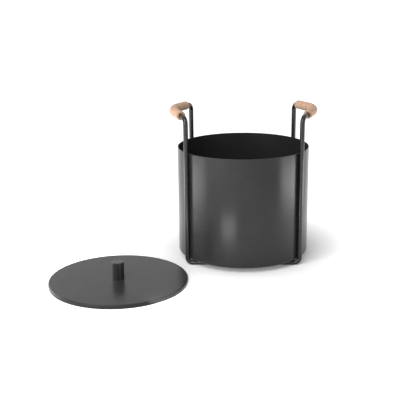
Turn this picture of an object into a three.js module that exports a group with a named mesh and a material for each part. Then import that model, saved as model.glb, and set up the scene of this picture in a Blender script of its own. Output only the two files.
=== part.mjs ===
// A round lidded kindling bucket for the hearth, standing in a frame of two bent steel rods.
// Millimetres, +Z up. The origin is the middle of the bucket's floor, inside. +Y points from the
// front to the back, and -X and +X are the two handle sides.

import * as THREE from 'three';

// ---- Driving dimensions ----

const GAP = 0.3;                  // left between pieces that touch
const SHEET = 1.5;                // sheet steel of the bucket and the lid

// Heights of the bucket and its frame are measured from the underside of the base.
const BUCKET_RADIUS = 140;        // outside of the rolled wall
const BUCKET_HEIGHT = 230;        // up to the rim
const BASE_CORNER = 5;            // outside radius where the base pan turns up
const PAN_HEIGHT = 9;             // the pan's turned-up edge, under the wall
const SEAM_WIDTH = 2;             // slit of the rolled wall, closed by its weld
const SEAM_CROWN = 0.4;           // how far that weld stands out of the wall

const ROD_RADIUS = 5;             // round bar of the frame
const FRAME_RODS = {              // middle of the bar: its two uprights, and where a handle begins
  front: { x: 118.1, y: -85.2, shoulder: 303.4 },
  rear: { x: 114.1, y: 90.4, shoulder: 304.6 },
};
const HANDLE_X = 146.6;           // middle of the bar, halfway along a handle
const HANDLE_Z = 306.9;
const FOOT_BEND = 11;             // bend radii, to the middle of the rod
const SHOULDER_BEND = 14;
const HANDLE_BEND = 90;
const HANDLE_JOINT = 1;           // half of the space that a handle's butt weld fills

const GRIP_RADIUS = 9.5;          // outside of the leather sleeve
const GRIP_BARE = {               // bare bar between a sleeve's ends and the corners of the frame
  left: { front: 25, rear: 25.5 },
  right: { front: 32, rear: 18.5 },
};

const BEAD_LENGTH = 12;           // short weld beads that hold the bucket in its frame
const WALL_BEAD = { near: 2.6, far: 4.6 };           // from the line of contact, along the wall
const WALL_BEAD_HEIGHTS = { lower: 40, upper: 195 };
const BASE_BEAD = { near: 2.9, far: 5.5, drop: 3.2 };
const BASE_BEAD_X = 60;

const LID_CENTRE = { x: -252.7, y: -186.1 };
const LID_HEIGHT = 8;             // from the floor, where the lip stands, to the top face
const LID_CORNER = 2;             // outside radius of the lid's edge

const KNOB_RADIUS = 12;
const KNOB_HEIGHT = 35;
const KNOB_EDGE = 1;              // rounding of the knob's top edge
const SCREW_RADIUS = 2.5;
const SCREW_HEAD_RADIUS = 4.6;
const SCREW_HEAD_HEIGHT = 2.6;
const SCREW_REACH = 14;           // thread inside the knob
const BORE_SPARE = 2;             // bore left beyond the screw's tip
const WASHER_RADIUS = 6.5;
const WASHER_THICKNESS = 1;

const WALL_SEGMENTS = 72;
const KNOB_SEGMENTS = 36;
const SMALL_SEGMENTS = 24;
const ROD_SIDES = 12;
const GRIP_SIDES = 18;

// ---- Values worked out from them ----

const CHORD_Z = -GAP - ROD_RADIUS;
const FLOOR_Z = CHORD_Z - ROD_RADIUS;
const BUCKET_INSIDE = BUCKET_RADIUS - SHEET;
const WALL_FOOT = PAN_HEIGHT + GAP;
const LID_UNDERSIDE = LID_HEIGHT - SHEET;
const SCREW_HOLE = SCREW_RADIUS + GAP;

// ---- Finishes ----

const blackPaint = { color: 0x3b3b3c, roughness: 0.42, metalness: 0.1 };
const rodPaint = { color: 0x2f3031, roughness: 0.38, metalness: 0.1 };
const leather = { color: 0xdcb294, roughness: 0.7, metalness: 0 };
const zincSteel = { color: 0xb4b6b8, roughness: 0.35, metalness: 0.9 };

const bucket = new THREE.Group();
bucket.position.z = -SHEET;

function addPiece(name, geometry, finish, group = bucket) {
  const mesh = new THREE.Mesh(geometry, new THREE.MeshStandardMaterial(finish));
  mesh.name = name;
  group.add(mesh);
  return mesh;
}

// ---- Round shapes ----

// A profile in (radius, height) turned about Z.
function turned(profile, segments = WALL_SEGMENTS) {
  const geometry = new THREE.LatheGeometry(profile, segments);
  geometry.rotateX(Math.PI / 2);
  return geometry;
}

// Points along a quarter circle of a profile, from one angle to the other.
function corner(radius, height, bend, from, to, steps = 4) {
  return Array.from({ length: steps + 1 }, (_, i) => {
    const angle = THREE.MathUtils.degToRad(from + (to - from) * i / steps);
    return new THREE.Vector2(radius + bend * Math.cos(angle), height + bend * Math.sin(angle));
  });
}

function ringShape(outer, inner, sides) {
  const circle = (radius) => Array.from({ length: sides }, (_, i) => {
    const angle = 2 * Math.PI * (i + 0.5) / sides;
    return new THREE.Vector2(radius * Math.cos(angle), radius * Math.sin(angle));
  });
  const shape = new THREE.Shape(circle(outer));
  if (inner > 0) shape.holes.push(new THREE.Path(circle(inner).reverse()));
  return shape;
}

// ---- Bent bar: straight runs joined by round bends ----

class Bend extends THREE.Curve {
  // An arc that touches both legs of a corner.
  constructor(vertex, before, after, radius) {
    super();
    const turn = before.angleTo(after);
    this.reach = radius * Math.tan(turn / 2);
    this.turn = turn;
    this.start = vertex.clone().addScaledVector(before, -this.reach);
    this.end = vertex.clone().addScaledVector(after, this.reach);
    const side = after.clone().addScaledVector(before, -after.dot(before)).normalize();
    this.centre = this.start.clone().addScaledVector(side, radius);
    this.spoke = side.multiplyScalar(-radius);
    this.heading = before.clone().multiplyScalar(radius);
  }

  getPoint(t) {
    const angle = t * this.turn;
    return this.centre.clone()
      .addScaledVector(this.spoke, Math.cos(angle))
      .addScaledVector(this.heading, Math.sin(angle));
  }

  getTangent(t) {
    const angle = t * this.turn;
    return this.heading.clone().multiplyScalar(Math.cos(angle))
      .addScaledVector(this.spoke, -Math.sin(angle))
      .normalize();
  }
}

class BarPath extends THREE.Curve {
  // corners: [{ at, bend, steps }], where the first and the last are the bar's ends.
  constructor(corners) {
    super();
    this.pieces = [];
    let from = corners[0].at;
    for (let i = 1; i < corners.length; i += 1) {
      const { at, bend, steps } = corners[i];
      if (!bend) {
        this.addRun(new THREE.LineCurve3(from, at), 1);
        continue;
      }
      const before = at.clone().sub(corners[i - 1].at).normalize();
      const after = corners[i + 1].at.clone().sub(at).normalize();
      const arc = new Bend(at, before, after, bend);
      this.addRun(new THREE.LineCurve3(from, arc.start), 1);
      this.addRun(arc, steps);
      from = arc.end;
    }
    this.steps = this.pieces.length;
  }

  addRun(curve, steps) {
    for (let i = 0; i < steps; i += 1) this.pieces.push({ curve, from: i / steps, to: (i + 1) / steps });
  }

  locate(t) {
    const place = Math.min(t * this.pieces.length, this.pieces.length);
    const index = Math.min(Math.floor(place + 1e-9), this.pieces.length - 1);
    const piece = this.pieces[index];
    return [piece.curve, piece.from + (piece.to - piece.from) * (place - index)];
  }

  getPoint(t) {
    const [curve, at] = this.locate(t);
    return curve.getPoint(at);
  }

  getTangent(t) {
    const [curve, at] = this.locate(t);
    return curve.getTangent(at);
  }

  // Sections stand where the runs and bends need them, not at even lengths.
  getPointAt(t) {
    return this.getPoint(t);
  }

  getTangentAt(t) {
    return this.getTangent(t);
  }
}

function alongBar(shape, path) {
  return new THREE.ExtrudeGeometry(shape, { steps: path.steps, extrudePath: path, bevelEnabled: false });
}

// ---- Bucket ----

function bucketWall() {
  // Sheet rolled to a tube, with a slit at the back for the seam weld.
  const slit = Math.asin(SEAM_WIDTH / 2 / BUCKET_RADIUS);
  const back = Math.PI / 2;
  const sheet = new THREE.Shape();
  sheet.absarc(0, 0, BUCKET_RADIUS, back + slit, back + 2 * Math.PI - slit, false);
  sheet.absarc(0, 0, BUCKET_INSIDE, back + 2 * Math.PI - slit, back + slit, true);
  const geometry = new THREE.ExtrudeGeometry(sheet, {
    depth: BUCKET_HEIGHT - WALL_FOOT, curveSegments: WALL_SEGMENTS / 2, bevelEnabled: false,
  });
  geometry.translate(0, 0, WALL_FOOT);
  addPiece('bucket_wall', geometry, blackPaint);
}

function wallSeamWeld() {
  const height = BUCKET_HEIGHT - WALL_FOOT - 2 * GAP;
  const depth = SHEET + SEAM_CROWN;
  const weld = new THREE.BoxGeometry(SEAM_WIDTH - 2 * GAP, depth, height);
  const piece = addPiece('wall_seam_weld', weld, blackPaint);
  piece.position.set(0, BUCKET_INSIDE + depth / 2, WALL_FOOT + GAP + height / 2);
}

function bucketBase() {
  // A shallow pressed pan, whose edge meets the wall.
  const turnRadius = BUCKET_RADIUS - BASE_CORNER;
  addPiece('bucket_base', turned([
    new THREE.Vector2(0, 0),
    ...corner(turnRadius, BASE_CORNER, BASE_CORNER, -90, 0),
    new THREE.Vector2(BUCKET_RADIUS, PAN_HEIGHT),
    new THREE.Vector2(BUCKET_INSIDE, PAN_HEIGHT),
    ...corner(turnRadius, BASE_CORNER, BASE_CORNER - SHEET, 0, -90),
    new THREE.Vector2(0, SHEET),
  ]), blackPaint);
}

// ---- Frame: two bent rods that meet in the middle of each handle ----

// The corner between a handle's straight leg and its middle, which runs from front to back. The
// bend there starts on the leg and ends where the butt weld begins.
function handleCorner({ x, y }, side) {
  const outward = HANDLE_X - x;
  const across = 2 * HANDLE_BEND - outward;
  const depth = Math.abs(y);
  const tangent = (depth - Math.sqrt(depth ** 2 - outward * across)) / across;
  return {
    at: new THREE.Vector3(side * HANDLE_X, Math.sign(y) * HANDLE_BEND * tangent, HANDLE_Z),
    bend: HANDLE_BEND - HANDLE_JOINT / tangent,
    steps: 6,
  };
}

function frameRod(name, rod) {
  const jointY = Math.sign(rod.y) * HANDLE_JOINT;
  const halfRod = (side) => [
    { at: new THREE.Vector3(side * HANDLE_X, jointY, HANDLE_Z) },
    handleCorner(rod, side),
    { at: new THREE.Vector3(side * rod.x, rod.y, rod.shoulder), bend: SHOULDER_BEND, steps: 6 },
    { at: new THREE.Vector3(side * rod.x, rod.y, CHORD_Z), bend: FOOT_BEND, steps: 6 },
  ];
  const path = new BarPath([...halfRod(-1), ...halfRod(1).reverse()]);
  addPiece(name, alongBar(ringShape(ROD_RADIUS, 0, ROD_SIDES), path), rodPaint);
}

function handleWeld(name, side) {
  const length = 2 * (HANDLE_JOINT - GAP);
  const weld = new THREE.CylinderGeometry(ROD_RADIUS, ROD_RADIUS, length, ROD_SIDES);
  const piece = addPiece(name, weld, rodPaint);
  piece.position.set(side * HANDLE_X, 0, HANDLE_Z);
}

// ---- Weld beads in the grooves between the rods and the bucket ----

function weldBead(name, corners) {
  const geometry = new THREE.ExtrudeGeometry(new THREE.Shape(corners), {
    depth: BEAD_LENGTH, bevelEnabled: false,
  });
  geometry.translate(0, 0, -BEAD_LENGTH / 2);
  return addPiece(name, geometry, blackPaint);
}

function wallBead(name, side, rod, height) {
  // Upright, on the side of the rod that faces the middle of the handle.
  const upright = new THREE.Vector2(side * rod.x, rod.y);
  const outward = upright.clone().normalize();
  const along = new THREE.Vector2(-outward.y, outward.x).multiplyScalar(-side * Math.sign(rod.y));
  const place = (across, out) => new THREE.Vector2()
    .addScaledVector(along, across)
    .addScaledVector(outward, out);
  const wallAt = (across) => Math.sqrt(BUCKET_RADIUS ** 2 - across ** 2) + GAP;
  const rodAt = (across) => upright.length() - Math.sqrt((ROD_RADIUS + GAP) ** 2 - across ** 2);
  const { near, far } = WALL_BEAD;
  const bead = weldBead(name, [
    place(near, wallAt(near)),
    place(far, wallAt(far)),
    place(far, rodAt(far)),
  ]);
  bead.position.z = height;
}

function baseBead(name, side, rod) {
  // Lying between the inner side of a rod and the base above it.
  const { near, far, drop } = BASE_BEAD;
  const bead = weldBead(name, [
    new THREE.Vector2(near, -GAP),
    new THREE.Vector2(far, -GAP),
    new THREE.Vector2(far, -drop),
  ]);
  bead.geometry.rotateX(Math.PI / 2);
  bead.geometry.rotateZ(-Math.sign(rod.y) * Math.PI / 2);
  bead.position.set(side * BASE_BEAD_X, rod.y, 0);
}

// ---- Leather sleeves on the handles ----

// A point on a handle's straight leg, so far from the corner of its frame rod.
function onLeg(rod, side, distance) {
  const shoulder = new THREE.Vector3(side * rod.x, rod.y, rod.shoulder);
  const towards = handleCorner(rod, side).at.sub(shoulder).normalize();
  return shoulder.addScaledVector(towards, distance);
}

function grip(name, side, bare) {
  const { front, rear } = FRAME_RODS;
  const path = new BarPath([
    { at: onLeg(front, side, bare.front) },
    handleCorner(front, side),
    handleCorner(rear, side),
    { at: onLeg(rear, side, bare.rear) },
  ]);
  const sleeve = ringShape(GRIP_RADIUS, ROD_RADIUS + GAP, GRIP_SIDES);
  addPiece(name, alongBar(sleeve, path), leather);
}

// ---- Lid, lying on the floor; on the bucket it rests on the rim, between the four uprights ----

const lid = new THREE.Group();
lid.position.set(LID_CENTRE.x, LID_CENTRE.y, FLOOR_Z);
bucket.add(lid);

function lidPlate() {
  const turnRadius = BUCKET_RADIUS - LID_CORNER;
  const turnHeight = LID_HEIGHT - LID_CORNER;
  addPiece('lid_plate', turned([
    new THREE.Vector2(SCREW_HOLE, LID_UNDERSIDE),
    ...corner(turnRadius, turnHeight, LID_CORNER - SHEET, 90, 0, 2),
    new THREE.Vector2(BUCKET_INSIDE, 0),
    new THREE.Vector2(BUCKET_RADIUS, 0),
    ...corner(turnRadius, turnHeight, LID_CORNER, 0, 90, 4),
    new THREE.Vector2(SCREW_HOLE, LID_HEIGHT),
    new THREE.Vector2(SCREW_HOLE, LID_UNDERSIDE),
  ]), blackPaint, lid);
}

function lidKnob() {
  // A short round post, bored from below for its screw.
  const foot = LID_HEIGHT + GAP;
  const top = foot + KNOB_HEIGHT;
  const boreEnd = foot + SCREW_REACH + BORE_SPARE;
  addPiece('lid_knob', turned([
    new THREE.Vector2(0, boreEnd),
    new THREE.Vector2(SCREW_HOLE, boreEnd),
    new THREE.Vector2(SCREW_HOLE, foot),
    new THREE.Vector2(KNOB_RADIUS, foot),
    ...corner(KNOB_RADIUS - KNOB_EDGE, top - KNOB_EDGE, KNOB_EDGE, 0, 90),
    new THREE.Vector2(0, top),
  ], KNOB_SEGMENTS), rodPaint, lid);
}

function knobWasher() {
  const top = LID_UNDERSIDE - GAP;
  const bottom = top - WASHER_THICKNESS;
  addPiece('knob_washer', turned([
    new THREE.Vector2(SCREW_HOLE, bottom),
    new THREE.Vector2(WASHER_RADIUS, bottom),
    new THREE.Vector2(WASHER_RADIUS, top),
    new THREE.Vector2(SCREW_HOLE, top),
    new THREE.Vector2(SCREW_HOLE, bottom),
  ], SMALL_SEGMENTS), zincSteel, lid);
}

function knobScrew() {
  const seat = LID_UNDERSIDE - 2 * GAP - WASHER_THICKNESS;
  const bottom = seat - SCREW_HEAD_HEIGHT;
  const tip = LID_HEIGHT + GAP + SCREW_REACH;
  addPiece('knob_screw', turned([
    new THREE.Vector2(0, bottom),
    new THREE.Vector2(SCREW_HEAD_RADIUS - 1, bottom),
    new THREE.Vector2(SCREW_HEAD_RADIUS, bottom + 1),
    new THREE.Vector2(SCREW_HEAD_RADIUS, seat),
    new THREE.Vector2(SCREW_RADIUS, seat),
    new THREE.Vector2(SCREW_RADIUS, tip - 1),
    new THREE.Vector2(SCREW_RADIUS - 1, tip),
    new THREE.Vector2(0, tip),
  ], SMALL_SEGMENTS), zincSteel, lid);
}

// ---- Assembly ----

bucketBase();
bucketWall();
wallSeamWeld();

const SIDES = { left: -1, right: 1 };

for (const [where, rod] of Object.entries(FRAME_RODS)) {
  frameRod(`${where}_frame_rod`, rod);
  for (const [hand, side] of Object.entries(SIDES)) {
    baseBead(`base_weld_${where}_${hand}`, side, rod);
    for (const [level, height] of Object.entries(WALL_BEAD_HEIGHTS)) {
      wallBead(`wall_weld_${where}_${hand}_${level}`, side, rod, height);
    }
  }
}
for (const [hand, side] of Object.entries(SIDES)) {
  handleWeld(`${hand}_handle_weld`, side);
  grip(`${hand}_grip`, side, GRIP_BARE[hand]);
}

lidPlate();
lidKnob();
knobWasher();
knobScrew();

export default bucket;
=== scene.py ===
# A round lidded kindling bucket of coated sheet steel. It stands in a frame of two bent round rods
# whose tops meet in two bowed handles with leather sleeves. Its lid lies on the floor beside it.
# Metres, +Z up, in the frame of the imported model.

import math

import bmesh
import bpy
from mathutils import Matrix, Vector, noise


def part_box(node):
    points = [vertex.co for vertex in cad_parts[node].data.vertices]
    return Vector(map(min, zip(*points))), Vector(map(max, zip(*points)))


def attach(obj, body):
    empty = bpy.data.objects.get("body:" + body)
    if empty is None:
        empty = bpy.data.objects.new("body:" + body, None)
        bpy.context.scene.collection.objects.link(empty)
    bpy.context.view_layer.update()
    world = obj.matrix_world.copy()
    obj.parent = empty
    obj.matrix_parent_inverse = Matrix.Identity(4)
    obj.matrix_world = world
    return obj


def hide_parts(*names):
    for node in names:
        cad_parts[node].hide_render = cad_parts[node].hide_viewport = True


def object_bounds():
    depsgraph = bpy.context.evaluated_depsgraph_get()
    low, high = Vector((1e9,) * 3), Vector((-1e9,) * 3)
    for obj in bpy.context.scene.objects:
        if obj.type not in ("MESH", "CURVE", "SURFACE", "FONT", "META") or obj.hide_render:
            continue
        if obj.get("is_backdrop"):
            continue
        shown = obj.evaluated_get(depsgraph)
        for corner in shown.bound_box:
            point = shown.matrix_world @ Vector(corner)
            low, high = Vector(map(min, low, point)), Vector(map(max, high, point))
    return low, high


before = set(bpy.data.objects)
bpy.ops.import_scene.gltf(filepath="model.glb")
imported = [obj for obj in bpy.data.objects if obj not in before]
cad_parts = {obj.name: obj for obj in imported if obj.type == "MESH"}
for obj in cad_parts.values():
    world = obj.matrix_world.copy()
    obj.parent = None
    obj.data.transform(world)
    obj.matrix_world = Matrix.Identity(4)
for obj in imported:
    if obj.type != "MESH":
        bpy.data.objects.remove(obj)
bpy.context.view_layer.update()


# ---- Camera ----
# A short telephoto view from in front and above, a little left of the bucket's middle, as the
# photograph was taken. The focal length is known in pixels of its 400-pixel frame.

PICTURE_PIXELS = 400
FOCAL_PIXELS = 828.1
CAMERA_PLACE = Vector((-0.0317, -1.7397, 0.5960))
CAMERA_PITCH = 0.2740
CAMERA_YAW = -0.0355
CAMERA_ROLL = -0.0115

camera_data = bpy.data.cameras.new("photo_camera")
camera_data.lens = camera_data.sensor_width * FOCAL_PIXELS / PICTURE_PIXELS
camera = bpy.data.objects.new("photo_camera", camera_data)
camera.matrix_world = (
    Matrix.Translation(CAMERA_PLACE)
    @ Matrix.Rotation(-CAMERA_YAW, 4, "Z")
    @ Matrix.Rotation(math.pi / 2 - CAMERA_PITCH, 4, "X")
    @ Matrix.Rotation(CAMERA_ROLL, 4, "Z")
)
bpy.context.scene.collection.objects.link(camera)
bpy.context.scene.camera = camera
bpy.context.scene.view_settings.view_transform = "Standard"


# ---- Studio ----
# A pale seamless floor in a white room. Low softboxes stand on both sides and in front, and the key
# is higher, at the front left. The floor glows a little where it is seen, and more towards the
# distance, so it is white there and still shows the object's shadow.

FLOOR_HALF = 30.0
FLOOR_COLOUR = (0.86, 0.86, 0.86, 1)
NEAR_GLOW = 0.14
SWEEP = (0.135, 0.34)             # from the bucket's axis: where the glow starts to rise, where full
ROOM_LIGHT = 0.25
WHITE = (1, 1, 1, 1)
BLACK = (0, 0, 0, 1)

floor_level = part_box("lid_plate")[0].z
floor_bm = bmesh.new()
bmesh.ops.create_grid(floor_bm, x_segments=1, y_segments=1, size=FLOOR_HALF)
bmesh.ops.translate(floor_bm, verts=floor_bm.verts, vec=(0, 0, floor_level))
floor_mesh = bpy.data.meshes.new("studio_floor")
floor_bm.to_mesh(floor_mesh)
floor_bm.free()
floor = bpy.data.objects.new("studio_floor", floor_mesh)
bpy.context.scene.collection.objects.link(floor)
floor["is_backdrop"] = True


class Socket:
    """One output of a node. Finishes are written as sums on these: an operator adds a Math node."""

    def __init__(self, nodes, output):
        self.nodes = nodes
        self.output = output

    def math(self, operation, first, second):
        return self.nodes.add("Math", {"operation": operation}, {0: first, 1: second})

    def __add__(self, other):
        return self.math("ADD", self, other)

    def __sub__(self, other):
        return self.math("SUBTRACT", self, other)

    def __rsub__(self, other):
        return self.math("SUBTRACT", other, self)

    def __mul__(self, other):
        return self.math("MULTIPLY", self, other)

    __radd__ = __add__
    __rmul__ = __mul__


class Nodes:
    """The nodes of one material or of the room."""

    def __init__(self, tree):
        self.tree = tree

    def add(self, kind, settings=None, sockets=None, output=0):
        """Makes a node from its type, its settings and the values or links of its sockets."""
        node = self.tree.nodes.new("ShaderNode" + kind)
        for name, value in (settings or {}).items():
            setattr(node, name, value)
        self.feed(node, sockets or {})
        return Socket(self, node.outputs[output])

    def feed(self, node, sockets):
        for key, value in sockets.items():
            if isinstance(value, Socket):
                self.tree.links.new(value.output, node.inputs[key])
            else:
                node.inputs[key].default_value = value

    def mix(self, share, first, second):
        return self.add("Mix", {"data_type": "RGBA"}, {0: share, 6: first, 7: second}, output=2)

    def ramp(self, value, low, high):
        """From 0 at low to 1 at high, and level outside them."""
        sockets = {"Value": value, "From Min": low, "From Max": high}
        return self.add("MapRange", {"clamp": True}, sockets)

    def shown(self):
        """1 where a surface is seen directly, in a reflection or through glass, and otherwise 0."""
        seen = self.add("LightPath", output="Is Camera Ray")
        mirrored = self.add("LightPath", output="Is Glossy Ray")
        through_glass = self.add("LightPath", output="Is Transmission Ray")
        return seen + mirrored + through_glass


class Finish(Nodes):
    """A material in the making, with its pattern fixed to the piece."""

    def __init__(self, name):
        self.material = bpy.data.materials.new(name)
        self.material.use_nodes = True
        super().__init__(self.material.node_tree)
        self.shader = self.tree.nodes["Principled BSDF"]
        self.place = self.add("TexCoord", output="Object")

    def cloud(self, per_metre, detail):
        """Soft noise from about 0.3 to 0.7, so many features to the metre."""
        sockets = {"Vector": self.place, "Scale": per_metre, "Detail": detail}
        return self.add("TexNoise", None, sockets)

    def bump(self, height, depth, under=None):
        """Raises the surface by height, where 1 stands depth metres proud, over an earlier bump."""
        sockets = {"Height": height, "Distance": depth, "Strength": 1.0}
        if under:
            sockets["Normal"] = under
        return self.add("Bump", None, sockets)

    def set(self, **values):
        """Feeds the shader's sockets, whose names are written with _ for a space."""
        self.feed(self.shader, {name.replace("_", " "): value for name, value in values.items()})


floor_paper = Finish("studio_paper")
from_bucket = floor_paper.add(
    "VectorMath", {"operation": "LENGTH"}, {0: floor_paper.place}, output=1
)
glow = NEAR_GLOW + floor_paper.ramp(from_bucket, *SWEEP) * (1 - NEAR_GLOW)
floor_paper.set(
    Base_Color=FLOOR_COLOUR,
    Roughness=0.9,
    Specular_IOR_Level=0.0,
    Emission_Color=floor_paper.mix(floor_paper.shown() * glow, BLACK, WHITE),
    Emission_Strength=1.0,
)
floor_mesh.materials.append(floor_paper.material)

world = bpy.data.worlds.new("studio_room")
world.use_nodes = True
bpy.context.scene.world = world
room = Nodes(world.node_tree)
room.feed(world.node_tree.nodes["Background"], {
    "Color": WHITE,
    "Strength": room.shown() * (1 - ROOM_LIGHT) + ROOM_LIGHT,
})


def soft_lamp(name, place, towards, width, height, watts):
    """A softbox at a place, turned towards a point. It lights and is mirrored, but isn't seen."""
    lamp_data = bpy.data.lights.new(name, "AREA")
    lamp_data.shape = "RECTANGLE"
    lamp_data.size = width
    lamp_data.size_y = height
    lamp_data.energy = watts
    lamp = bpy.data.objects.new(name, lamp_data)
    facing = (Vector(towards) - Vector(place)).to_track_quat("-Z", "Y")
    lamp.matrix_world = Matrix.Translation(place) @ facing.to_matrix().to_4x4()
    lamp.visible_camera = False
    bpy.context.scene.collection.objects.link(lamp)


soft_lamp("left_softbox", (-0.53, -0.04, 0.065), (0, -0.04, 0.065), 0.48, 0.12, 0.92)
soft_lamp("right_softbox", (0.52, -0.10, 0.065), (0, -0.10, 0.065), 0.40, 0.12, 1.0)
soft_lamp("low_softbox", (-0.125, -0.332, 0.018), (-0.037, -0.136, 0.018), 0.12, 0.04, 0.13)
soft_lamp("front_softbox", (-0.99, -1.07, 0.33), (-0.1, -0.1, 0.05), 0.30, 0.30, 5)
soft_lamp("key_softbox", (-0.6, -1.2, 1.3), (0, 0, 0.1), 1.2, 1.2, 22)


# ---- Bucket base ----
# A shallow pan pressed from 1.5 mm sheet steel. Its edge turns up with a 5 mm corner to meet the
# wall, and it is coated with the bucket in one textured charcoal powder coat.

SHEET = 0.0015
BASE_CORNER = 0.005
ROUND_STEPS = 180
SAME_POINT = 1e-6                 # points nearer than this are merged
ON_RING = 1e-5                    # a point this near a ring is on it
CREASE = math.radians(38)         # an edge bent further than this is shaded sharp
CHARCOAL = (0.022, 0.022, 0.0225)
CHARCOAL_GLOSS = 0.22
COAT_ROUGHNESS = 0.24
PEEL_DEPTH = 0.000022
GRAIN_DEPTH = 0.000014


def powder_coat(name, colour, gloss):
    """Baked powder: cloudy in colour and sheen, with orange-peel waves under a fine grain."""
    def shade(brightness):
        return (*[part * brightness for part in colour], 1)

    coat = Finish(name)
    drift = coat.ramp(coat.cloud(9, detail=3), 0.35, 0.65)
    speck = coat.ramp(coat.cloud(2200, detail=1), 0.4, 0.75)
    tone = coat.mix(drift, shade(0.88), shade(1.15))
    rubbed = coat.ramp(coat.cloud(26, detail=4), 0.5, 0.72)
    peel = coat.bump(coat.cloud(420, detail=1), PEEL_DEPTH)
    coat.set(
        Base_Color=coat.mix(speck * 0.3, tone, shade(1.8)),
        Roughness=COAT_ROUGHNESS + drift * 0.03 - rubbed * 0.025 + speck * 0.03,
        Specular_IOR_Level=gloss,
        Normal=coat.bump(coat.cloud(1700, detail=2), GRAIN_DEPTH, under=peel),
    )
    return coat.material


charcoal_coat = powder_coat("charcoal_powder_coat", CHARCOAL, CHARCOAL_GLOSS)


def turned(outline, closed=True):
    """A bmesh made by turning an outline of (radius, height) points round the Z axis."""
    bm = bmesh.new()
    verts = [bm.verts.new((radius, 0, height)) for radius, height in outline]
    pairs = list(zip(verts, verts[1:]))
    if closed:
        pairs.append((verts[-1], verts[0]))
    for pair in pairs:
        bm.edges.new(pair)
    bmesh.ops.spin(
        bm, geom=bm.verts[:] + bm.edges[:], cent=(0, 0, 0), axis=(0, 0, 1),
        angle=2 * math.pi, steps=ROUND_STEPS, use_merge=True,
    )
    bmesh.ops.remove_doubles(bm, verts=bm.verts, dist=SAME_POINT)
    bmesh.ops.recalc_face_normals(bm, faces=bm.faces)
    return bm


def round_ring(bm, radius, height, offset, segments):
    """Rounds the sharp ring of edges at that radius and height."""
    def on_ring(vert):
        at_radius = abs(vert.co.to_2d().length - radius) < ON_RING
        return at_radius and abs(vert.co.z - height) < ON_RING

    ring = [edge for edge in bm.edges if on_ring(edge.verts[0]) and on_ring(edge.verts[1])]
    bmesh.ops.bevel(
        bm, geom=ring, offset=offset, offset_type="OFFSET", segments=segments,
        profile=0.5, affect="EDGES", clamp_overlap=True, material=-1,
    )


def put(name, bm, finish, body, slot, *nodes):
    """Makes a bmesh into a piece that rides on a body and stands for its CAD nodes."""
    mesh = bpy.data.meshes.new(name)
    bm.to_mesh(mesh)
    bm.free()
    mesh.materials.append(finish)
    mesh.shade_smooth()
    mesh.set_sharp_from_angle(angle=CREASE)
    piece = bpy.data.objects.new(name, mesh)
    bpy.context.scene.collection.objects.link(piece)
    shading = piece.modifiers.new("even_shading", "WEIGHTED_NORMAL")
    shading.keep_sharp = True
    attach(piece, body)
    if nodes:
        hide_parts(*nodes)


pan_low, pan_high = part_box("bucket_base")
bucket_radius = pan_high.x
bucket_inside = bucket_radius - SHEET

pan = turned([
    (0, pan_low.z),
    (bucket_radius, pan_low.z),
    (bucket_radius, pan_high.z),
    (bucket_inside, pan_high.z),
    (bucket_inside, pan_low.z + SHEET),
    (0, pan_low.z + SHEET),
], closed=False)
round_ring(pan, bucket_radius, pan_low.z, BASE_CORNER, segments=8)
round_ring(pan, bucket_inside, pan_low.z + SHEET, BASE_CORNER - SHEET, segments=6)
put("base_pan", pan, charcoal_coat, "bucket", "charcoal_paint", "bucket_base")


# ---- Bucket wall ----
# The same sheet, rolled to a tube with an open slit at the back. Its upper rim is cut plain and
# dressed, and only a hairline shows where it stands on the pan.

SEAM_WIDTH = 0.002
RIM_ROUNDING = 0.0005
JOINT_HAIRLINE = 0.0001

rim_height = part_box("bucket_wall")[1].z
half_slit = math.asin(SEAM_WIDTH / 2 / bucket_radius)
wall_foot = pan_high.z + JOINT_HAIRLINE

wall = bmesh.new()
section = [
    wall.verts.new((radius, 0, height))
    for radius, height in (
        (bucket_inside, wall_foot),
        (bucket_radius, wall_foot),
        (bucket_radius, rim_height),
        (bucket_inside, rim_height),
    )
]
wall_end = wall.faces.new(section)
bmesh.ops.rotate(
    wall, verts=wall.verts, cent=(0, 0, 0), matrix=Matrix.Rotation(math.pi / 2 + half_slit, 3, "Z")
)
bmesh.ops.spin(
    wall, geom=[*wall.verts, *wall.edges, wall_end], cent=(0, 0, 0), axis=(0, 0, 1),
    angle=2 * (math.pi - half_slit), steps=ROUND_STEPS, use_merge=False,
)
bmesh.ops.remove_doubles(wall, verts=wall.verts, dist=SAME_POINT)
bmesh.ops.recalc_face_normals(wall, faces=wall.faces)
round_ring(wall, bucket_radius, rim_height, RIM_ROUNDING, segments=3)
round_ring(wall, bucket_inside, rim_height, RIM_ROUNDING, segments=3)
put("rolled_wall", wall, charcoal_coat, "bucket", "charcoal_paint", "bucket_wall")


# ---- Wall seam weld ----
# One long bead that closes the slit of the rolled wall: left slightly proud and rippled outside,
# dressed flush inside, and coated with the rest.

BEAD_CROWN = 0.00028
BEAD_SHOULDER = 0.7 * BEAD_CROWN
BEAD_TUCK = 0.0001                # how deep the bead's edges go into the wall
BEAD_RIPPLE = 0.35 * BEAD_CROWN
RIPPLE_PITCH = 0.0016
SEAM_OVERLAP = 0.0006             # how far the bead laps over each side of the slit

seam_length = rim_height - RIM_ROUNDING - wall_foot
seam_steps = 2 * round(seam_length / RIPPLE_PITCH)
seam_rise = seam_length / seam_steps


def draw_along(bm, end, stations):
    """Pulls a face, drawn flat at the origin, along the stations and closes the start."""
    bmesh.ops.transform(bm, matrix=stations[0], verts=end.verts)
    for before, after in zip(stations, stations[1:]):
        end = bmesh.ops.extrude_discrete_faces(bm, faces=[end])["faces"][0]
        bmesh.ops.transform(bm, matrix=after @ before.inverted(), verts=end.verts)
    start = [edge for edge in bm.edges if edge.is_boundary]
    bmesh.ops.contextual_create(bm, geom=start)
    bmesh.ops.recalc_face_normals(bm, faces=bm.faces)


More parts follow.
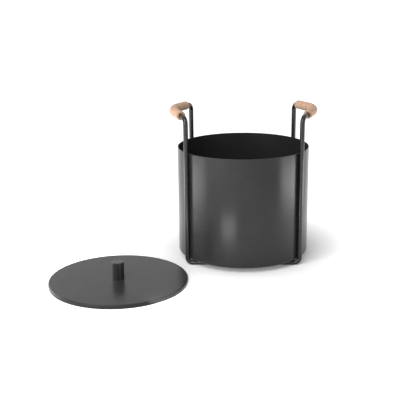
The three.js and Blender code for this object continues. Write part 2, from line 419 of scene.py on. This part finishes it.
half_bead = SEAM_WIDTH / 2 + SEAM_OVERLAP
seam_section = [
    (-half_bead, bucket_radius - BEAD_TUCK),
    (-half_bead / 2, bucket_radius + BEAD_SHOULDER),
    (0, bucket_radius + BEAD_CROWN),
    (half_bead / 2, bucket_radius + BEAD_SHOULDER),
    (half_bead, bucket_radius - BEAD_TUCK),
    (SEAM_WIDTH / 2, bucket_inside),
    (-SEAM_WIDTH / 2, bucket_inside),
]
seam = bmesh.new()
seam_end = seam.faces.new([seam.verts.new((x, y, 0)) for x, y in seam_section])
draw_along(seam, seam_end, [
    Matrix.Translation((0, 0, wall_foot + seam_rise * step)) for step in range(seam_steps + 1)
])
for vert in seam.verts:
    if vert.co.y > bucket_radius:
        on_ridge = round((vert.co.z - wall_foot) / seam_rise) % 2
        vert.co.y += BEAD_RIPPLE if on_ridge else -BEAD_RIPPLE
put("seam_bead", seam, charcoal_coat, "bucket", "charcoal_paint", "wall_seam_weld")


# ---- Frame rods ----
# Two 10 mm round steel bars, each bent from one length: half a handle, an upright, the bottom rod
# the bucket rests on, the other upright and half of the other handle. Coated near black.

ROD_RADIUS = 0.005
FRAME_RODS = {                    # middle of the bar: upright's x and y, and where a handle begins
    "front": (0.1181, -0.0852, 0.3019),
    "rear": (0.1141, 0.0904, 0.3031),
}
HANDLE_X = 0.1466
HANDLE_Z = 0.3054
HANDLE_BEND = 0.090
HANDLE_JOINT = 0.001              # from a rod's end to the middle of the handle
FOOT_BEND = 0.011
SHOULDER_BEND = 0.014
REST_GAP = 0.0003                 # between a bottom rod and the pan
ROD_SIDES = 24
RUN_PITCH = 1.0                   # longer than any run, so each is one step
BEND_PITCH = 0.0015
ROD_BLACK = (0.010, 0.010, 0.0105)
ROD_GLOSS = 0.42

rod_coat = powder_coat("rod_powder_coat", ROD_BLACK, ROD_GLOSS)


def handle_corner(where, side):
    """The corner between a handle's leg and its middle, and the radius of the bend there."""
    x, y, _ = FRAME_RODS[where]
    outward, depth = HANDLE_X - x, abs(y)
    across = 2 * HANDLE_BEND - outward
    tangent = (depth - math.sqrt(depth ** 2 - outward * across)) / across
    place = Vector((side * HANDLE_X, math.copysign(HANDLE_BEND * tangent, y), HANDLE_Z))
    return place, HANDLE_BEND - HANDLE_JOINT / tangent


def bar_line(corners, run_pitch, bend_pitch):
    """Matrices along straight runs joined by arcs. Z points along the bar, which isn't twisted.
    A corner is (place, bend radius), and the first and the last are the ends."""
    here = corners[0][0]
    heading = (corners[1][0] - here).normalized()
    stations = [Matrix.Translation(here) @ heading.to_track_quat("Z", "Y").to_matrix().to_4x4()]

    def go_straight(to):
        start = stations[-1]
        way = to - start.translation
        steps = max(1, round(way.length / run_pitch))
        stations.extend(Matrix.Translation(way * (i + 1) / steps) @ start for i in range(steps))

    for (before, _), (corner, bend), (after, _) in zip(corners, corners[1:], corners[2:]):
        into = (corner - before).normalized()
        out = (after - corner).normalized()
        turn = into.angle(out)
        arc_start = corner - into * bend * math.tan(turn / 2)
        go_straight(arc_start)
        axis = into.cross(out).normalized()
        centre = Matrix.Translation(arc_start + axis.cross(into) * bend)
        steps = max(2, round(bend * turn / bend_pitch))
        swing = centre @ Matrix.Rotation(turn / steps, 4, axis) @ centre.inverted()
        for _ in range(steps):
            stations.append(swing @ stations[-1])
    go_straight(corners[-1][0])
    return stations


def round_face(bm, radius, sides):
    """A filled circle, flat at the origin."""
    circle = bmesh.ops.create_circle(bm, cap_ends=True, radius=radius, segments=sides)
    return circle["verts"][0].link_faces[0]


def frame_corners(where):
    """Down one side of the frame, along its foot and up the other side."""
    x, y, shoulder = FRAME_RODS[where]
    foot = pan_low.z - REST_GAP - ROD_RADIUS
    corners = []
    for side in (-1, 1):
        half = [
            (Vector((side * HANDLE_X, math.copysign(HANDLE_JOINT, y), HANDLE_Z)), 0),
            handle_corner(where, side),
            (Vector((side * x, y, shoulder)), SHOULDER_BEND),
            (Vector((side * x, y, foot)), FOOT_BEND),
        ]
        corners += half if side < 0 else half[::-1]
    return corners


for where in FRAME_RODS:
    rod = bmesh.new()
    stations = bar_line(frame_corners(where), RUN_PITCH, BEND_PITCH)
    draw_along(rod, round_face(rod, ROD_RADIUS, ROD_SIDES), stations)
    put(f"{where}_rod", rod, rod_coat, "bucket", "rod_paint", f"{where}_frame_rod")


# ---- Weld beads of the frame ----
# Short rippled fillets, laid in the grooves between each upright and the wall and between the
# bottom rods and the base, and coated over. Each tapers where the arc was started and stopped.

FILLET_RADIUS = 0.0013
FILLET_SIDES = 10
FILLET_RIDGE = 1.06
FILLET_HOLLOW = 0.9
FILLET_END = 0.25
FILLET_TAPER = 6                  # the higher the power, the shorter the taper at the ends


def rippled_bead(name, node, along):
    """A bead of overlapping ripples through the middle of a node's box, along one of its axes."""
    low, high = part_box(node)
    middle = (low + high) / 2
    reach = (high - low)[along] / 2
    way = Vector((0, 0, 0))
    way[along] = 1
    steps = round(2 * reach / RIPPLE_PITCH) * 2
    turn = way.to_track_quat("Z", "Y").to_matrix().to_4x4()
    stations = []
    for step in range(steps + 1):
        from_middle = 2 * step / steps - 1
        taper = max(FILLET_END, (1 - from_middle ** FILLET_TAPER) ** 0.5)
        ripple = FILLET_RIDGE if step % 2 else FILLET_HOLLOW
        place = middle + way * reach * from_middle
        stations.append(Matrix.Translation(place) @ turn @ Matrix.Scale(taper * ripple, 4))
    bead = bmesh.new()
    draw_along(bead, round_face(bead, FILLET_RADIUS, FILLET_SIDES), stations)
    put(name, bead, rod_coat, "bucket", "rod_paint", node)


for where in FRAME_RODS:
    for hand in ("left", "right"):
        spot = f"{where}_{hand}"
        rippled_bead(f"base_bead_{spot}", f"base_weld_{spot}", along=0)
        for level in ("lower", "upper"):
            rippled_bead(f"wall_bead_{spot}_{level}", f"wall_weld_{spot}_{level}", along=2)


# ---- Handle butt welds ----
# Where the ends of the two rods meet in the middle of each handle, a ring weld joins them. The
# leather sleeve hides it.

BUTT_CROWN = (                    # place along the weld, from end to end, and its width in bars
    (1, 0.985),
    (0.5, 1.02),
    (0, 1.03),
    (-0.5, 1.02),
    (-1, 0.985),
)

for hand in ("left", "right"):
    low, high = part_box(f"{hand}_handle_weld")
    middle = (low + high) / 2
    ring = bmesh.new()
    stations = [
        Matrix.Translation(middle + Vector((0, shift * HANDLE_JOINT, 0)))
        @ Matrix.Rotation(math.pi / 2, 4, "X")
        @ Matrix.Scale(scale, 4)
        for shift, scale in BUTT_CROWN
    ]
    draw_along(ring, round_face(ring, ROD_RADIUS, ROD_SIDES), stations)
    put(f"{hand}_butt_weld", ring, rod_coat, "bucket", "rod_paint", f"{hand}_handle_weld")


# ---- Leather sleeves ----
# A strip of natural vegetable-tanned leather, 4.4 mm thick, wrapped round each handle. Its edges
# meet in a fine slit underneath, drawn in a little by the stitches, and its ends are burnished.

GRIP_RADIUS = 0.0095
GRIP_INSIDE = 0.00504
GRIP_BARE = {                     # bare bar from the corners of the frame, in front and behind
    "left": (0.025, 0.0255),
    "right": (0.032, 0.0185),
}
GRIP_PITCH = 0.0020
STRIP_STEPS = 64
SEAM_TURN = math.radians(1.6)     # half the slit, seen from the middle of the bar
SEAM_PULL = 0.0011                # how far the stitches draw the edges in
SEAM_PULL_WIDTH = math.radians(11)
END_ROUNDING = 0.0008
END_STEPS = 4
SHARP = 1.0                       # radians between the faces of an edge that is cut, not rolled
OUTER_SKIN = GRIP_INSIDE + 0.001  # what lies further from the bar's middle is lumpy
LUMPS_SINK = 0.00025              # keeps the lumps inside the sleeve's radius
LUMPS = (                         # how many to the metre, and how high
    (60, 0.00009),
    (200, 0.00002),
)

TAN = (0.66, 0.405, 0.27, 1)
TAN_PATCH = (0.73, 0.465, 0.32, 1)
TAN_FLECK = (0.64, 0.36, 0.25, 1)
TAN_FIBRE = (0.80, 0.56, 0.41, 1)
TAN_WORN = (0.60, 0.35, 0.22, 1)
# painted shade: the next brown darkens the hide along the slit underneath, fading out a couple of
# millimetres from it
SLIT_SHADE_BROWN = (0.36, 0.20, 0.12, 1)
BURNISHED_BROWN = (0.36, 0.21, 0.13, 1)
SLIT_SHADE_REACH = 0.0022
BURNISH_REACH = 0.0014
PEBBLES_PER_METRE = 900.0
PEBBLE_DEPTH = 0.00003
WAVE_DEPTH = 0.00012
PORE_DEPTH = 0.00003


def natural_leather():
    """Vegetable-tanned hide: patchy, flecked, pebbled, burnished darker at the ends, with painted
    shade along the slit.
    """
    leather = Finish("natural_leather")
    to_end = leather.add("Attribute", {"attribute_name": "to_end"}, output="Fac")
    to_seam = leather.add("Attribute", {"attribute_name": "to_seam"}, output="Fac")
    patches = leather.ramp(leather.cloud(70, detail=3), 0.36, 0.66)
    fleck = leather.ramp(leather.cloud(420, detail=3), 0.42, 0.7)
    fibre = leather.ramp(leather.cloud(1500, detail=2), 0.35, 0.75)
    worn = leather.ramp(leather.cloud(38, detail=2), 0.48, 0.7)
    # painted shade along the slit underneath, strongest at the seam and fading out a couple of
    # millimetres from it
    slit_shade = 1 - leather.ramp(to_seam, 0.0, SLIT_SHADE_REACH)
    burnish = 1 - leather.ramp(to_end, 0.0, BURNISH_REACH)
    hide = leather.mix(patches, TAN, TAN_PATCH)
    hide = leather.mix(fleck * 0.25, hide, TAN_FLECK)
    hide = leather.mix(fibre * 0.18, hide, TAN_FIBRE)
    hide = leather.mix(worn * 0.2, hide, TAN_WORN)
    hide = leather.mix(slit_shade * 0.55, hide, SLIT_SHADE_BROWN)
    hide = leather.mix(burnish * 0.5, hide, BURNISHED_BROWN)
    cells = {"Vector": leather.place, "Scale": PEBBLES_PER_METRE}
    grain = leather.add("TexVoronoi", {"feature": "DISTANCE_TO_EDGE"}, cells)
    pebble = leather.bump(leather.ramp(grain, 0.0, 0.25), PEBBLE_DEPTH)
    wave = leather.bump(leather.cloud(160, detail=2), WAVE_DEPTH, under=pebble)
    leather.set(
        Base_Color=hide,
        Roughness=0.52 + fleck * 0.08 - worn * 0.07 - burnish * 0.12,
        Specular_IOR_Level=0.35,
        Normal=leather.bump(leather.cloud(1300, detail=2), PORE_DEPTH, under=wave),
    )
    return leather.material


leather_finish = natural_leather()


def on_leg(where, side, distance):
    """A point on a handle's straight leg, so far from the corner of its frame rod."""
    x, y, shoulder = FRAME_RODS[where]
    corner = Vector((side * x, y, shoulder))
    return corner + (handle_corner(where, side)[0] - corner).normalized() * distance


def grip_line(hand, pitch):
    """The stretch of a handle's middle line that its sleeve covers, from front to rear."""
    side = -1 if hand == "left" else 1
    front_bare, rear_bare = GRIP_BARE[hand]
    corners = [
        (on_leg("front", side, front_bare), 0),
        handle_corner("front", side),
        handle_corner("rear", side),
        (on_leg("rear", side, rear_bare), 0),
    ]
    return bar_line(corners, pitch, pitch)


def seam_direction(station):
    """The angle, in the section's own X and Y, that points straight down."""
    down = station.to_3x3().inverted() @ Vector((0, 0, -1))
    return math.atan2(down.y, down.x)


def strip_section(bm, seam_at):
    """The C of the wrapped strip, open at the seam, with its edges drawn in."""
    outer, inner = [], []
    for step in range(STRIP_STEPS + 1):
        away = SEAM_TURN + (2 * math.pi - 2 * SEAM_TURN) * step / STRIP_STEPS
        from_seam = min(away, 2 * math.pi - away)
        radius = GRIP_RADIUS - SEAM_PULL * math.exp(-((from_seam / SEAM_PULL_WIDTH) ** 2))
        ray = Vector((math.cos(seam_at + away), math.sin(seam_at + away), 0))
        outer.append(bm.verts.new(radius * ray))
        if step % 2 == 0:
            inner.append(bm.verts.new(GRIP_INSIDE * ray))
    return bm.faces.new(outer + inner[::-1])


def burnish_ends(bm):
    """Rounds the cut edges of the strip at both ends of the sleeve."""
    caps = [face for face in bm.faces if len(face.verts) > STRIP_STEPS]
    cut = [edge for cap in caps for edge in cap.edges if edge.calc_face_angle(0) > SHARP]
    bmesh.ops.bevel(
        bm, geom=cut, offset=END_ROUNDING, offset_type="OFFSET", segments=END_STEPS,
        profile=0.5, affect="EDGES", clamp_overlap=True, material=-1,
    )


def age_leather(bm, stations):
    """Notes each point's way to the slit and to the nearer end, and makes the outside lumpy."""
    to_end = bm.verts.layers.float.new("to_end")
    to_seam = bm.verts.layers.float.new("to_seam")
    for vert in bm.verts:
        near = min(stations, key=lambda station: (vert.co - station.translation).length)
        local = near.inverted() @ vert.co
        turn = math.atan2(local.y, local.x) - seam_direction(near)
        from_front = (stations[0].inverted() @ vert.co).z
        from_rear = -(stations[-1].inverted() @ vert.co).z
        vert[to_end] = min(from_front, from_rear)
        vert[to_seam] = abs(math.remainder(turn, math.tau)) * GRIP_RADIUS
        if local.to_2d().length > OUTER_SKIN:
            lumps = [noise.noise(vert.co * per_metre) * height for per_metre, height in LUMPS]
            vert.co -= vert.normal * (LUMPS_SINK + sum(lumps))


for hand in ("left", "right"):
    stations = grip_line(hand, GRIP_PITCH)
    sleeve = bmesh.new()
    draw_along(sleeve, strip_section(sleeve, seam_direction(stations[0])), stations)
    burnish_ends(sleeve)
    sleeve.normal_update()
    age_leather(sleeve, stations)
    put(f"{hand}_sleeve", sleeve, leather_finish, "bucket", "natural_leather", f"{hand}_grip")


# ---- Sleeve thread ----
# Waxed linen thread that draws the sleeve's edges together: a row of slanting stitches across the
# slit underneath, each one coming out of a punched hole on one side and going in on the other.

THREAD_RADIUS = 0.00042
THREAD_SIDES = 8
THREAD_PITCH = 0.001
STITCH_EVERY = 5                  # in thread pitches
STITCH_LAST = -4                  # and so the last stitch stays clear of the sleeve's end
STITCH_SPAN = 0.0030
STITCH_SLANT = math.radians(28)
STITCH_HEIGHT = 0.76              # against half its span
ARCH_DEGREES = range(-100, 101, 25)
LINEN_DARK = (0.46, 0.30, 0.19, 1)
LINEN_PALE = (0.66, 0.47, 0.31, 1)
PLY_DEPTH = 0.00008

linen = Finish("waxed_linen_thread")
twist = {"Vector": linen.place, "Scale": 900.0, "Distortion": 1.5}
ply = linen.add("TexWave", {"bands_direction": "DIAGONAL"}, twist)
linen.set(
    Base_Color=linen.mix(ply, LINEN_DARK, LINEN_PALE),
    Roughness=0.45 + ply * 0.15,
    Normal=linen.bump(ply, PLY_DEPTH),
)


def stitch_arch(station):
    """The stations of one stitch, which stands over the slit like a low slanting arch."""
    lay = (
        station
        @ Matrix.Rotation(seam_direction(station), 4, "Z")
        @ Matrix.Translation((GRIP_RADIUS - SEAM_PULL, 0, 0))
        @ Matrix.Rotation(STITCH_SLANT, 4, "X")
        @ Matrix.Scale(STITCH_HEIGHT, 4, (1, 0, 0))
    )
    return [
        lay
        @ Matrix.Rotation(math.radians(degrees), 4, "Z")
        @ Matrix.Translation((STITCH_SPAN / 2, 0, 0))
        @ Matrix.Rotation(math.pi / 2, 4, "X")
        for degrees in ARCH_DEGREES
    ]


for hand in ("left", "right"):
    thread = bmesh.new()
    for station in grip_line(hand, THREAD_PITCH)[STITCH_EVERY:STITCH_LAST:STITCH_EVERY]:
        end = round_face(thread, THREAD_RADIUS, THREAD_SIDES)
        draw_along(thread, end, stitch_arch(station))
    put(f"{hand}_sleeve_thread", thread, linen.material, "bucket", "natural_leather")


# ---- Lid plate ----
# A flat disc of the same coated sheet as the wall and of the same diameter, with its edge turned
# down to an 8 mm lip. It lies on the floor on that lip.

LID_CORNER = 0.002
LIP_ROUNDING = 0.0003
SCREW_HOLE = 0.0028
LID_CHARCOAL = (0.024, 0.024, 0.0245)
LID_GLOSS = 0.17

lid_low, lid_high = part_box("lid_plate")
lid_middle = (lid_low + lid_high) / 2
lid_radius = (lid_high.x - lid_low.x) / 2
lip_inside = lid_radius - SHEET
lid_underside = lid_high.z - SHEET


def onto_lid(bm):
    """Moves what was turned round the Z axis to the lid's middle."""
    bmesh.ops.translate(bm, verts=bm.verts, vec=(lid_middle.x, lid_middle.y, 0))
    return bm


plate = turned([
    (SCREW_HOLE, lid_high.z),
    (lid_radius, lid_high.z),
    (lid_radius, lid_low.z),
    (lip_inside, lid_low.z),
    (lip_inside, lid_underside),
    (SCREW_HOLE, lid_underside),
])
round_ring(plate, lid_radius, lid_high.z, LID_CORNER, segments=6)
round_ring(plate, lip_inside, lid_underside, LID_CORNER - SHEET, segments=3)
round_ring(plate, lid_radius, lid_low.z, LIP_ROUNDING, segments=2)
round_ring(plate, lip_inside, lid_low.z, LIP_ROUNDING, segments=2)
lid_coat = powder_coat("lid_powder_coat", LID_CHARCOAL, LID_GLOSS)
put("lid_disc", onto_lid(plate), lid_coat, "lid", "charcoal_paint", "lid_plate")


# ---- Lid knob ----
# A short upright post, turned from steel bar with a small rounding at both ends, coated like the
# rods and held by one screw from below.

KNOB_EDGE = 0.001
KNOB_FOOT_EDGE = KNOB_EDGE / 3

knob_low, knob_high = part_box("lid_knob")
knob_radius = (knob_high.x - knob_low.x) / 2

knob = turned([
    (0, lid_high.z),
    (knob_radius, lid_high.z),
    (knob_radius, knob_high.z),
    (0, knob_high.z),
], closed=False)
round_ring(knob, knob_radius, knob_high.z, KNOB_EDGE, segments=5)
round_ring(knob, knob_radius, lid_high.z, KNOB_FOOT_EDGE, segments=3)
put("knob_post", onto_lid(knob), rod_coat, "lid", "rod_paint", "lid_knob")


# ---- Knob washer and screw ----
# A plain washer and a button-head screw with a hexagon socket, both bright zinc-plated steel,
# under the lid plate.

WASHER_EDGE = 0.0002
SCREW_SIDES = 24
CROWN_SHARE = 0.72                # of the head's radius: its flat crown
DOME_SHARE = 0.93                 # of the head's radius: halfway down its dome
DOME_DEPTHS = (0.0006, 0.0016)    # below the crown: that place and the dome's foot
SOCKET_RADIUS = 0.0017
SOCKET_DEPTH = 0.0015
SHANK_RADIUS = 0.0025
SHANK_CHAMFER = 0.001
TIP_RADIUS = 0.6 * SHANK_RADIUS
ZINC_BLUE = (0.56, 0.57, 0.60, 1)
ZINC_PALE = (0.72, 0.72, 0.70, 1)
SPANGLE_DEPTH = 0.00002

zinc = Finish("bright_zinc_plate")
spangle = zinc.ramp(zinc.cloud(700, detail=3), 0.35, 0.65)
zinc.set(
    Base_Color=zinc.mix(spangle, ZINC_BLUE, ZINC_PALE),
    Metallic=1.0,
    Roughness=0.24 + spangle * 0.14,
    Normal=zinc.bump(zinc.cloud(1600, detail=2), SPANGLE_DEPTH),
)

washer_low, washer_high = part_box("knob_washer")
washer_radius = (washer_high.x - washer_low.x) / 2
washer = turned([
    (SCREW_HOLE, washer_low.z),
    (washer_radius, washer_low.z),
    (washer_radius, washer_high.z),
    (SCREW_HOLE, washer_high.z),
])
round_ring(washer, washer_radius, washer_low.z, WASHER_EDGE, segments=2)
round_ring(washer, washer_radius, washer_high.z, WASHER_EDGE, segments=2)
put("plain_washer", onto_lid(washer), zinc.material, "lid", "zinc_plate", "knob_washer")

screw_low, screw_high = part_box("knob_screw")
head_radius = (screw_high.x - screw_low.x) / 2
crown_radius = CROWN_SHARE * head_radius
screw_outline = (                 # from the dome of the head, which hangs down, up to the tip
    (DOME_SHARE * head_radius, screw_low.z + DOME_DEPTHS[0]),
    (head_radius, screw_low.z + DOME_DEPTHS[1]),
    (head_radius, washer_low.z),
    (SHANK_RADIUS, washer_low.z),
    (SHANK_RADIUS, screw_high.z - SHANK_CHAMFER),
    (TIP_RADIUS, screw_high.z),
)

screw = bmesh.new()
mouth = round_face(screw, crown_radius, SCREW_SIDES)
bmesh.ops.translate(screw, verts=mouth.verts, vec=(0, 0, screw_low.z))
bmesh.ops.inset_region(
    screw, faces=[mouth], thickness=crown_radius - SOCKET_RADIUS, use_boundary=True
)
for vert in mouth.verts:
    angle = math.atan2(vert.co.y, vert.co.x)
    from_flat = angle % (math.pi / 3) - math.pi / 6
    reach = SOCKET_RADIUS * math.cos(math.pi / 6) / math.cos(from_flat)
    vert.co.x = reach * math.cos(angle)
    vert.co.y = reach * math.sin(angle)
bottom = bmesh.ops.extrude_discrete_faces(screw, faces=[mouth])["faces"][0]
bmesh.ops.translate(screw, verts=bottom.verts, vec=(0, 0, SOCKET_DEPTH))
edge_ring = [edge for edge in screw.edges if edge.is_boundary]
for radius, height in screw_outline:
    grown = bmesh.ops.extrude_edge_only(screw, edges=edge_ring)
    verts = [item for item in grown["geom"] if isinstance(item, bmesh.types.BMVert)]
    edge_ring = [edge for edge in screw.edges if edge.is_boundary and edge.verts[0] in verts]
    reach = verts[0].co.to_2d().length
    bmesh.ops.scale(screw, verts=verts, vec=(radius / reach, radius / reach, 1))
    bmesh.ops.translate(screw, verts=verts, vec=(0, 0, height - verts[0].co.z))
bmesh.ops.contextual_create(screw, geom=edge_ring)
bmesh.ops.recalc_face_normals(screw, faces=screw.faces)
put("socket_screw", onto_lid(screw), zinc.material, "lid", "zinc_plate", "knob_screw")


low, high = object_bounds()
